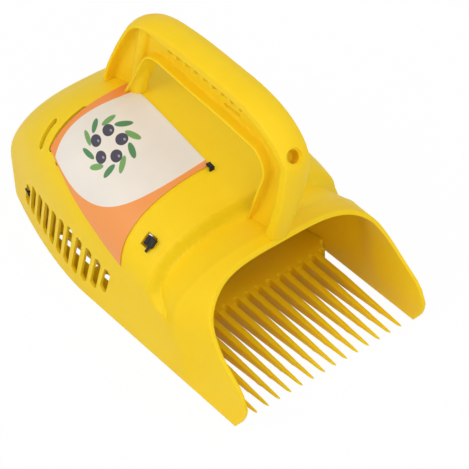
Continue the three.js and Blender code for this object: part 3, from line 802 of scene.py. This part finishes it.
def label_finish(colours):
    """Printed film: a cream ground with two orange bands and a ring of plain leaves and round dots"""
    material, tree, shader = new_material("printed_label")
    plan = new_node(tree, "ShaderNodeUVMap", uv_map="label_plan")
    deep_ground = [0.93 * c for c in colours.label_colour]
    colour, _, place = lay_skin(tree, shader, colours.label_colour, deep_ground, roughness=0.38)

    def painted(mask, paint, colour):
        layer = new_node(tree, "ShaderNodeMix", data_type="RGBA")
        link(tree, mask, layer.inputs["Factor"])
        link(tree, colour, layer.inputs["A"])
        layer.inputs["B"].default_value = (*paint, 1)
        return layer.outputs["Result"]

    def ellipse(centre, turn, half_sizes):
        mask = new_node(tree, "ShaderNodeGroup", node_tree=ellipse_group(), Centre=(*centre, 0), Turn=turn,
                        Half_Sizes=(*half_sizes, 1), Softness=PRINT_SOFTNESS / min(half_sizes))
        link(tree, plan.outputs["UV"], mask.inputs["Vector"])
        return mask.outputs["Mask"]

    def ring_spot(radius, angle):
        return MOTIF_CENTRE[0] + radius * math.cos(angle), MOTIF_CENTRE[1] + radius * math.sin(angle)

    # The orange bands are all that lies outside two wide ellipses
    for (centre, half_sizes), paint in (
        (FRONT_BAND_ELLIPSE, colours.label_band_colour),
        (REAR_BAND_ELLIPSE, colours.label_edge_colour),
    ):
        outside = maths_node(tree, "SUBTRACT", 1, ellipse(centre, 0, half_sizes))
        colour = painted(outside, paint, colour)
    for k in range(LEAF_COUNT):
        angle = 2 * math.pi * k / LEAF_COUNT
        leaf = ellipse(ring_spot(LEAF_RING, angle), -angle - LEAF_TILT, LEAF_HALF_SIZES)
        colour = painted(leaf, colours.leaf_colour if k % 2 else colours.leaf_dark_colour, colour)
    for k in range(DOT_COUNT):
        spot = ring_spot(DOT_RING, 2 * math.pi * (k + 0.5) / DOT_COUNT)
        colour = painted(ellipse(spot, 0, (DOT_HALF_SIZE, DOT_HALF_SIZE)), colours.dot_colour, colour)
        bright = (spot[0] + SHINE_SHIFT[0], spot[1] + SHINE_SHIFT[1])
        colour = painted(ellipse(bright, 0, SHINE_HALF_SIZES), colours.dot_shine_colour, colour)
    link(tree, colour, shader.inputs["Base Color"])
    creases = new_node(tree, "ShaderNodeTexNoise", Scale=45.0, Detail=3.0, Distortion=2.0)
    link(tree, place, creases.inputs["Vector"])
    lay_relief(tree, shader, creases.outputs["Fac"], 0.35, CREASE_DEPTH)
    set_values(shader, Specular_IOR_Level=0.4)
    return material


# Sizes and colours
def length_prop(name, description, default):
    return FloatProperty(name=name, description=description, default=default, unit="LENGTH")


def colour_prop(name, description, default):
    return FloatVectorProperty(name=name, description=description, default=default, size=3, min=0, max=1,
                               subtype="COLOR")


class RakeSizes(bpy.types.PropertyGroup):
    """Sizes of the rake's mouldings"""
    wall: length_prop("Wall", "Wall thickness of the scoop", 0.0024)
    handle_width: length_prop("Handle width", "Width of the handle's back", 0.0204)
    tine_pitch: length_prop("Tine pitch", "Distance between two tines", 0.009)
    tine_count: IntProperty(name="Tines", description="Number of tines in the comb", default=14, min=2)
    vent_width: length_prop("Vent width", "Width of a side vent", 0.0064)
    soft_edge: length_prop("Soft edge", "Rounding of the moulding's edges", 0.0005)


class RakeColours(bpy.types.PropertyGroup):
    """Colours of the rake's mouldings, label, ties and floor"""
    shell_colour: colour_prop("Shell", "Yellow of the scoop and handle", (0.90, 0.62, 0.010))
    shell_deep_colour: colour_prop("Shell, deep", "Deeper yellow in its cloudy patches", (0.88, 0.59, 0.008))
    # Painted shade: the comb's two colours are the shell's yellow shifted to a deeper orange, standing in
    # for the shade and bounced light inside the scoop; the cloudy patches are real
    comb_shaded_colour: colour_prop("Comb", "Yellow of the comb", (0.92, 0.60, 0.008))
    comb_shaded_deep_colour: colour_prop("Comb, deep", "Deeper yellow in its cloudy patches", (0.90, 0.57, 0.006))
    label_colour: colour_prop("Label ground", "Cream ground of the label", (0.80, 0.74, 0.66))
    label_band_colour: colour_prop("Label band", "Orange of the wide front band", (0.83, 0.30, 0.075))
    label_edge_colour: colour_prop("Label edge", "Orange of the thin rear band", (0.83, 0.27, 0.06))
    leaf_colour: colour_prop("Leaf", "Lighter green of the motif", (0.16, 0.34, 0.10))
    leaf_dark_colour: colour_prop("Leaf, dark", "Darker green of the motif", (0.07, 0.22, 0.08))
    dot_colour: colour_prop("Dot", "Dark violet of the motif's dots", (0.055, 0.05, 0.075))
    dot_shine_colour: colour_prop("Dot shine", "Pale spot on each dot", (0.30, 0.30, 0.36))
    tie_colour: colour_prop("Tie", "Black of the ties", (0.012, 0.012, 0.012))
    floor_colour: colour_prop("Floor", "Pale floor", (0.9, 0.9, 0.9))


def shell_finish(context):
    """The yellow plastic that the scoop and the handle share"""
    material = bpy.data.materials.get("yellow_moulding")
    if material:
        return material
    colours = context.scene.rake_colours
    return plastic("yellow_moulding", colours.shell_colour, colours.shell_deep_colour,
                   roughness=0.50, bump=0.35, glow=0.4)


# The pieces
class RAKE_OT_scoop(bpy.types.Operator):
    """Models the scoop: two skins laid on the moulding's sections, bridged, softened and vented"""
    bl_idname = "rake.scoop"
    bl_label = "Scoop"
    columns: IntProperty(name="Columns", description="Faces across the arch", default=128)
    rows: IntProperty(name="Rows", description="Faces from the rim to the rear", default=176)

    def skin(self, name, inset):
        """One skin of the scoop, from its rim to its flat rear, with closer rows towards the rear edge"""
        even_share, first_guess = 0.80, 20.0
        turn, end = DOME_REACH + 6, REAR_REACH - inset
        rims = {}

        def place(u, v):
            key = round(u * self.columns)
            if key not in rims:
                rims[key] = first_guess
                for _ in range(6):
                    rims[key] = rim_reach(section_point(section_at(rims[key], inset), u)[1])
            if v < even_share:
                reach = mix(rims[key], turn, v / even_share)
            else:
                reach = mix(turn, end, math.sin(math.pi / 2 * (v - even_share) / (1 - even_share)))
            return roof_point(reach, u, inset)

        piece = laid_grid(name, self.columns, self.rows, place)
        edit(piece)
        cap(piece, end)
        return close_edit(piece)

    def execute(self, context):
        sizes = context.scene.rake_sizes
        skins = [self.skin("scoop_body", 0.0), self.skin("scoop_inside", sizes.wall / MM)]
        scoop = merge(skins, "scoop_body")
        edit(scoop)
        bpy.ops.mesh.select_mode(type="EDGE")
        bpy.ops.mesh.select_non_manifold()
        bpy.ops.mesh.bridge_edge_loops()
        turn_outwards(scoop)
        apply_modifier(scoop, "BEVEL", width=sizes.soft_edge, segments=2, limit_method="ANGLE",
                       angle_limit=math.radians(60), use_clamp_overlap=False)
        cutters = self.side_vents(sizes) + self.shoulder_vents() + self.roof_holes()
        combine(scoop, turn_outwards(merge(cutters, "scoop_cutter")))
        smooth(scoop)
        finish_piece(scoop, shell_finish(context), "shell", "body_shell")
        return {"FINISHED"}

    def side_vents(self, sizes):
        """Cutters of the slanted side vents, each through both walls"""
        cutters = []
        width = sizes.vent_width / MM
        last = SIDE_VENT_COUNT - 1
        front_foot, low_foot, rear_foot = SIDE_VENT_FEET
        front_top, high_top, rear_top = SIDE_VENT_TOPS
        for k in range(SIDE_VENT_COUNT):
            reach = mix(*SIDE_VENT_REACH, k / last)
            foot = mix(low_foot, rear_foot, (k - LOWEST_FOOT_VENT) / (last - LOWEST_FOOT_VENT))
            if k < LOWEST_FOOT_VENT:
                foot = mix(low_foot, front_foot, (1 - k / LOWEST_FOOT_VENT) ** 2)
            top = mix(high_top, rear_top, (k - HIGHEST_TOP_VENT) / (last - HIGHEST_TOP_VENT))
            if k < HIGHEST_TOP_VENT:
                top = mix(front_top, high_top, k / HIGHEST_TOP_VENT)
            if k == last:
                top = LAST_VENT_TOP
            lean = (top - foot) * SIDE_VENT_SLANT
            low, high = (reach + lean, foot + width / 2), (reach - lean, top - width / 2)
            cutters.append(side_view(slot_cutter(low, high, width, depth=90)))
        return cutters

    def shoulder_vents(self):
        """Cutters of the vents in both rear shoulders"""
        cutters = []
        for side in (1, -1):
            for reach, outer, inner in SHOULDER_VENTS:
                start = roof_point(reach, share_across(reach, outer))
                end = roof_point(reach, share_across(reach, inner))
                half = (end - start).length / MM / 2 - SHOULDER_VENT_WIDTH / 2
                bar = slot_cutter((-half, 0), (half, 0), SHOULDER_VENT_WIDTH, depth=10)
                bar.matrix_world = roof_frame(reach, share_across(reach, (outer + inner) / 2))
                if side < 0:
                    bar.matrix_world = Matrix.Scale(-1, 4, (1, 0, 0)) @ bar.matrix_world
                cutters.append(settle(bar))
        return cutters

    def roof_holes(self):
        """Cutters of the window and of the slit at the label's corner"""
        cutters = []
        for (reach, across), size in ((WINDOW, WINDOW_SIZE), (LABEL_CORNER, CORNER_SLIT_SIZE)):
            hole = block(size, (0, 0, 0))
            hole.matrix_world = roof_frame(reach, share_across(reach, across))
            cutters.append(settle(hole))
        return cutters


class RAKE_OT_handle(bpy.types.Operator):
    """Models the loop handle: two flanges, a web, a column and ribs, grown together as one moulding"""
    bl_idname = "rake.handle"
    bl_label = "Handle"
    grain: FloatProperty(name="Detail", description="Size of the smallest detail kept", default=0.0007,
                         unit="LENGTH")

    def execute(self, context):
        outer = self.path(OUTER_ALONG, OUTER_UP)
        inner = self.path(INNER_ALONG, INNER_UP)
        pieces = self.flanges(outer, inner, context.scene.rake_sizes.handle_width / MM / 2)
        pieces += [self.web(outer, inner), self.column()]
        pieces += self.ribs(outer)
        pieces.append(self.hole_bar(*HOLE_BOSS))
        handle = merge(pieces, "loop_handle")
        apply_modifier(handle, "REMESH", mode="VOXEL", voxel_size=self.grain, use_smooth_shade=True)
        apply_modifier(handle, "SMOOTH", factor=0.5, iterations=3)
        combine(handle, self.holes())
        combine(handle, self.inside())
        smooth(handle, angle=50)
        finish_piece(handle, shell_finish(context), "shell")
        return {"FINISHED"}

    def path(self, along, up):
        """A side view line of the handle, carried on at both feet into the roof"""
        line = [(HANDLE_FRONT + a * HANDLE_RUN, u * HANDLE_HEIGHT) for a, u in zip(along, up)]
        for end, beside in ((0, 1), (-1, -2)):
            length = math.dist(line[end], line[beside])
            foot = tuple(mix(a, b, -FOOT_RUN / length) for a, b in zip(line[end], line[beside]))
            line.insert(0 if end == 0 else len(line), foot)
        return spline(line, PATH_STEPS)

    def flanges(self, outer, inner, half):
        """The outer flange, crowned and with skirts, and the inner flange"""
        last = len(OUTER_WIDTH) - 1
        widths = spline([(k / last, w) for k, w in enumerate(OUTER_WIDTH)], PATH_STEPS)
        crown_shares = [-1 + k / 6 for k in range(13)]
        crown = [(share, CROWN_RISE * (1 - share ** 2)) for share in crown_shares]

        def outer_contour(v):
            skirt = mix(SKIRT_DEPTH, FLANGE_DEPTH, eased((v - SKIRT_END) / SKIRT_FADE))
            under = [(1, -skirt), (SKIRT_INSIDE[0], -skirt), (SKIRT_INSIDE[1], -FLANGE_DEPTH)]
            return crown + under + [(-across, height) for across, height in reversed(under)]

        def outer_width(v):
            return half * widths[round(v * PATH_STEPS)][1]

        def inner_contour(v):
            top, foot = INNER_HALF_DEPTH, -INNER_HALF_DEPTH
            return [(-1, top), (0, INNER_CROWN), (1, top), (1, foot), (-1, foot)]

        def inner_width(v):
            return half * mix(*INNER_WIDTHS, eased(v / INNER_WIDENING))

        return [swept_strip("handle", outer, outer_width, outer_contour),
                swept_strip("inner", inner, inner_width, inner_contour)]

    def web(self, outer, inner):
        """The web between the two flanges"""
        def place(u, v):
            k = round(v * PATH_STEPS)
            reach, height = (mix(a, b, u) for a, b in zip(outer[k], inner[k]))
            return metres(-WEB_THICKNESS / 2, reach, height)

        return thicken(laid_grid("web", 8, PATH_STEPS, place), (WEB_THICKNESS * MM, 0, 0))

    def column(self):
        """The round column in the rear leg"""
        foot, top = metres(0, *COLUMN_FOOT), metres(0, *COLUMN_TOP)
        return rod(COLUMN_RADIUS, (top - foot).length, (foot + top) / 2, (top - foot).normalized())

    def ribs(self, outer):
        """Ribs in the corners under the grip: one modelled, and copies of it on both sides of the web"""
        rib = block(RIB_SIZE, (0, 0, 0))
        edit(rib)
        select_points(rib, lambda co: co.x > 0 and co.z < 0)
        bpy.ops.transform.translate(value=(0, 0, RIB_SLANT * MM))
        close_edit(rib)
        right = []
        for k in range(RIB_COUNT):
            reach = FIRST_RIB + RIB_PITCH * k
            near = min(outer[FRONT_LEG_STEPS:], key=lambda point: abs(point[0] - reach))
            right.append(copied(rib, metres(RIB_SIZE[0] / 2, reach, near[1] - RIB_SIZE[2] / 2)))
        bpy.data.objects.remove(rib, do_unlink=True)
        return right + [turn_outwards(copied(piece, scale=(-1, 1, 1))) for piece in right]

    def holes(self):
        """The slit in the web and the countersunk hole in the front leg"""
        slit = side_view(slot_cutter(*WEB_SLIT))
        bore, sink = (self.hole_bar(*step) for step in HOLE_STEPS)
        return merge([slit, combine(bore, sink, "UNION")], "handle_holes")

    def hole_bar(self, radius, depth, proud):
        """A round bar on the hanging hole's axis, from proud of the front leg's face to a depth behind it"""
        inwards = Vector(HOLE_INWARDS)
        face = metres(*HOLE_POINT) - inwards * CROWN_RISE * MM
        return rod(radius, (depth + proud) * MM, face + inwards * (depth - proud) / 2 * MM, inwards)

    def inside(self):
        """The space in the scoop under the roof, which the handle's feet stay out of"""
        def place(u, v):
            return roof_point(mix(*INSIDE_REACH, v), u, INSIDE_INSET)

        piece = laid_grid("inside", 60, 60, place)
        edit(piece)
        cap(piece, *INSIDE_REACH)
        bpy.ops.mesh.select_all(action="DESELECT")
        bpy.ops.mesh.select_non_manifold()
        bpy.ops.mesh.edge_face_add()
        return turn_outwards(piece)


class RAKE_OT_comb(bpy.types.Operator):
    """Models the comb: one tapered tine copied across, on a floor with rows of slots"""
    bl_idname = "rake.comb"
    bl_label = "Comb"

    def tine(self):
        """A tine laid from a grid: pointed, with a small step near its tip, tall and square at its root"""
        sides, rings = 24, 44

        def place(u, v):
            angle = 2 * math.pi * u
            reach = TINE_LENGTH * v ** TINE_CROWDING
            width = between(TINE_WIDTHS, reach)
            depth = between(TINE_DEPTHS, reach)
            low = TINE_LIFT * (1 - clamp01(reach / TINE_LIFT_END))
            low += TIP_RISE * (1 - clamp01(reach / TIP_RISE_END)) ** 2
            side, up = -math.cos(angle), math.sin(angle)
            across = math.copysign(abs(side) ** TINE_SQUARENESS, side) * width / 2
            if side < TINE_STEP_SIDE:
                across -= TINE_STEP * math.exp(-((reach - TINE_STEP_REACH) / TINE_STEP_LENGTH) ** 2)
            height = low + depth / 2 * (1 + math.copysign(abs(up) ** TINE_SQUARENESS, up))
            return metres(across, reach, height)

        piece = laid_grid("tine", sides, rings, place)
        weld(piece)
        cap(piece, 0.0, TINE_LENGTH)
        return turn_outwards(piece)

    def floor(self, sizes):
        """The slotted floor inside the scoop"""
        wall = sizes.wall / MM

        def place(u, v):
            reach = mix(FLOOR_FRONT, REAR_REACH - wall - FLOOR_PLAY, math.sin(math.pi / 2 * v))
            foot = section_at(reach, wall + FLOOR_PLAY)[1]
            return metres(mix(-foot, foot, u), reach, 0.0)

        piece = thicken(laid_grid("comb", 2, 40, place), (0, 0, FLOOR_THICKNESS * MM))
        front = metres(0, FLOOR_FRONT, 0).y
        for vertex in piece.data.vertices:
            if vertex.co.z > MM:
                ramp = 1 - eased((vertex.co.y - front - RAMP_START * MM) / (RAMP_LENGTH * MM))
                vertex.co.z = mix(FLOOR_THICKNESS, FLOOR_FRONT_HEIGHT, ramp) * MM
        cutters = []
        pitch = sizes.tine_pitch / MM
        outermost = sizes.tine_count // 2 - 1
        bay = (REAR_REACH - wall - SLOT_FRONT - SLOT_REAR_MARGIN) / SLOT_ROWS
        for k in range(-outermost, outermost + 1):
            for row in range(SLOT_ROWS):
                start = SLOT_FRONT + row * bay + SLOT_WIDTH / 2
                stop = SLOT_FRONT + (row + 1) * bay - SLOT_BRIDGE - SLOT_WIDTH / 2
                if abs(k * pitch) + pitch < section_at(stop, wall)[1]:
                    bar = slot_cutter((start, 0), (stop, 0), SLOT_WIDTH, depth=10, sides=16)
                    cutters.append(floor_view(bar, k * pitch))
        return combine(piece, merge(cutters, "floor_slots"))

    def execute(self, context):
        sizes = context.scene.rake_sizes
        colours = context.scene.rake_colours
        pitch = sizes.tine_pitch / MM
        comb = self.floor(sizes)
        tine = self.tine()
        middle = (sizes.tine_count - 1) / 2
        tines = [copied(tine, ((k - middle) * pitch * MM, 0, 0)) for k in range(sizes.tine_count)]
        bpy.data.objects.remove(tine, do_unlink=True)
        combine(comb, merge(tines, "tines"), "UNION")
        roots = []
        for k in range(sizes.tine_count + 1):
            root = slot_cutter((ROOT_START, 0), (ROOT_REACH - ROOT_GAP / 2, 0), ROOT_GAP, depth=30)
            roots.append(floor_view(root, (k - sizes.tine_count / 2) * pitch))
        combine(comb, merge(roots, "root_cutter"))
        for start in FAN_ACROSS:
            pair = []
            for side in (1, -1):
                end = (OUTER_GAP_REACH - ROOT_GAP / 2, -side * OUTER_GAP_ACROSS)
                pair.append(floor_view(slot_cutter((FAN_REACH, -side * start), end, ROOT_GAP, depth=30)))
            combine(comb, merge(pair, "corner_cutter"))
        comb.name = "comb"
        smooth(comb, angle=40)
        # The comb's plastic carries painted shade: its colours are the orange-shifted yellow of the shade
        # inside the scoop, with the real cloudy grain on top
        finish = plastic("comb_moulding_painted_shade", colours.comb_shaded_colour, colours.comb_shaded_deep_colour,
                         roughness=0.48, bump=0.3, glow=0.6, glow_depth=0.006)
        finish_piece(comb, finish, "comb", "comb_floor")
        return {"FINISHED"}


class RAKE_OT_label(bpy.types.Operator):
    """Lays the label over the left half of the roof and prints its plain design"""
    bl_idname = "rake.label"
    bl_label = "Label"

    def execute(self, context):
        plan = []

        def place(u, v):
            reach = LABEL_FRONT + LABEL_LENGTH * v
            low = mix(*LABEL_OUTER_EDGE, v ** LABEL_EDGE_POWER)
            high = share_across(reach, mix(*LABEL_INNER_EDGE, v))
            plan.append((v, u))
            return roof_point(reach, mix(low, high, u), -LABEL_PROUD)

        label = laid_grid("roof_label", 56, 64, place)
        apply_modifier(label, "SOLIDIFY", thickness=LABEL_THICKNESS * MM, offset=1.0, use_even_offset=True)
        layer = label.data.uv_layers.new(name="label_plan")
        for loop in label.data.loops:
            layer.data[loop.index].uv = plan[loop.vertex_index % len(plan)]
        smooth(label, angle=40)
        finish_piece(label, label_finish(context.scene.rake_colours), "label", "label_card")
        return {"FINISHED"}


class RAKE_OT_ties(bpy.types.Operator):
    """Models the black ties: a clip in the window, a strap at the label's corner and a bar in a vent"""
    bl_idname = "rake.ties"
    bl_label = "Ties"

    def put(self, blocks, name, spot, finish, node):
        """Builds a tie from its blocks and sets it on the roof"""
        tie = merge([block(*row) for row in blocks], name)
        tie.matrix_world = roof_frame(spot[0], share_across(*spot))
        settle(tie)
        smooth(tie, angle=30)
        finish_piece(tie, finish, "tie", node)

    def execute(self, context):
        black = tuple(context.scene.rake_colours.tie_colour)
        finish = plastic("black_nylon", black, tuple(1.6 * c for c in black), roughness=0.42, bump=0.4)
        self.put(CLIP_BLOCKS, "window_tie", WINDOW, finish, "tie_shoulder")
        self.put(STRAP_BLOCKS, "corner_tie", LABEL_CORNER, finish, "tie_corner")
        bar = bpy.data.objects.new("vent_tie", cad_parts["tie_rear"].data.copy())
        bpy.context.scene.collection.objects.link(bar)
        weld(bar)
        close_edit(bar)
        apply_modifier(bar, "BEVEL", width=BAR_BEVEL * MM, segments=2, limit_method="ANGLE")
        smooth(bar, angle=30)
        finish_piece(bar, finish, "tie", "tie_rear")
        return {"FINISHED"}


class RAKE_OT_stage(bpy.types.Operator):
    """Sets the floor, the soft lights, the white surroundings and the camera"""
    bl_idname = "rake.stage"
    bl_label = "Stage"

    def execute(self, context):
        scene = context.scene
        scene.view_settings.view_transform = "Standard"
        deselect_all()
        bpy.ops.mesh.primitive_plane_add(size=8, location=(0, 0, -0.5 * MM))
        floor = bpy.context.object
        floor.name = "floor"
        material, tree, shader = new_material("pale_floor")
        set_values(shader, Base_Color=(*scene.rake_colours.floor_colour, 1), Roughness=0.9,
                   Specular_IOR_Level=0.1)
        surface = tree.nodes["Material Output"].inputs["Surface"]
        self.white_to_camera(tree, "ShaderNodeEmission", shader.outputs[0], surface, FLOOR_WHITE)
        floor.data.materials.append(material)

        world = bpy.data.worlds.new("studio")
        scene.world = world
        world.use_nodes = True
        tree = world.node_tree
        sky = set_values(tree.nodes["Background"], Color=WORLD_COLOUR, Strength=WORLD_STRENGTH)
        surface = tree.nodes["World Output"].inputs["Surface"]
        self.white_to_camera(tree, "ShaderNodeBackground", sky.outputs[0], surface, 1.0)
        for name, place, size, power in LAMPS:
            light = bpy.data.lights.new(name, "AREA")
            light.size = size
            light.energy = power
            lamp = bpy.data.objects.new(name, light)
            scene.collection.objects.link(lamp)
            lamp.location = place
            aim = Vector(LAMP_AIM) - Vector(place)
            lamp.rotation_euler = aim.to_track_quat("-Z", "Y").to_euler()
        self.camera(scene)
        return {"FINISHED"}

    def white_to_camera(self, tree, kind, lit, surface, share):
        """Shows white to the camera, to gloss and through glass, and the lit shader to everything else"""
        rays = new_node(tree, "ShaderNodeLightPath").outputs
        white = new_node(tree, kind, Color=(1, 1, 1, 1), Strength=1.0)
        more = maths_node(tree, "ADD", rays["Is Glossy Ray"], rays["Is Transmission Ray"])
        seen = maths_node(tree, "ADD", rays["Is Camera Ray"], more, use_clamp=True)
        blend = new_node(tree, "ShaderNodeMixShader")
        link(tree, maths_node(tree, "MULTIPLY", seen, share), blend.inputs["Fac"])
        link(tree, lit, blend.inputs[1])
        link(tree, white.outputs[0], blend.inputs[2])
        link(tree, blend.outputs[0], surface)

    def camera(self, scene):
        """The camera stands where the picture was taken from and looks at the picture's middle"""
        azimuth, elevation = math.radians(VIEW_AZIMUTH), math.radians(VIEW_ELEVATION)
        level = math.cos(elevation)
        back = Vector((math.sin(azimuth) * level, -math.cos(azimuth) * level, math.sin(elevation)))
        right = Vector((math.cos(azimuth), math.sin(azimuth), 0))
        up = back.cross(right)
        place = metres(*TIPS_POINT) + back * (VIEW_DISTANCE * MM)
        focal = PIXELS_PER_MM * VIEW_DISTANCE
        centre = PICTURE_SIZE / 2
        middle = -back + right * ((centre - TIPS_PIXEL[0]) / focal) - up * ((centre - TIPS_PIXEL[1]) / focal)
        data = bpy.data.cameras.new("view")
        data.sensor_width = SENSOR_WIDTH
        data.lens = focal / PICTURE_SIZE * SENSOR_WIDTH / middle.length
        camera = bpy.data.objects.new("view", data)
        scene.collection.objects.link(camera)
        look = middle.normalized()
        side = right - look * right.dot(look)
        side.normalize()
        turn = Matrix((side, side.cross(look), -look)).transposed().to_4x4()
        camera.matrix_world = Matrix.Translation(place) @ turn
        scene.camera = camera


class RAKE_PT_panel(bpy.types.Panel):
    """Lists the rake's sizes, colours and pieces"""
    bl_idname = "RAKE_PT_panel"
    bl_label = "Berry rake"
    bl_space_type = "VIEW_3D"
    bl_region_type = "UI"
    bl_category = "Rake"

    def draw(self, context):
        layout = self.layout
        for group in (context.scene.rake_sizes, context.scene.rake_colours):
            for key in group.__annotations__:
                layout.prop(group, key)
        for operator in OPERATORS:
            layout.operator(operator.bl_idname)


OPERATORS = (RAKE_OT_stage, RAKE_OT_scoop, RAKE_OT_handle, RAKE_OT_comb, RAKE_OT_label, RAKE_OT_ties)
CLASSES = (RakeSizes, RakeColours, *OPERATORS, RAKE_PT_panel)


def register():
    for cls in CLASSES:
        bpy.utils.register_class(cls)
    bpy.types.Scene.rake_sizes = PointerProperty(type=RakeSizes)
    bpy.types.Scene.rake_colours = PointerProperty(type=RakeColours)


def unregister():
    del bpy.types.Scene.rake_sizes
    del bpy.types.Scene.rake_colours
    for cls in reversed(CLASSES):
        bpy.utils.unregister_class(cls)


def main():
    """Builds the stage and every piece"""
    register()
    bpy.ops.rake.stage()
    bpy.ops.rake.scoop()
    bpy.ops.rake.handle()
    bpy.ops.rake.comb()
    bpy.ops.rake.label()
    bpy.ops.rake.ties()
    deselect_all()


if __name__ == "__main__":
    main()
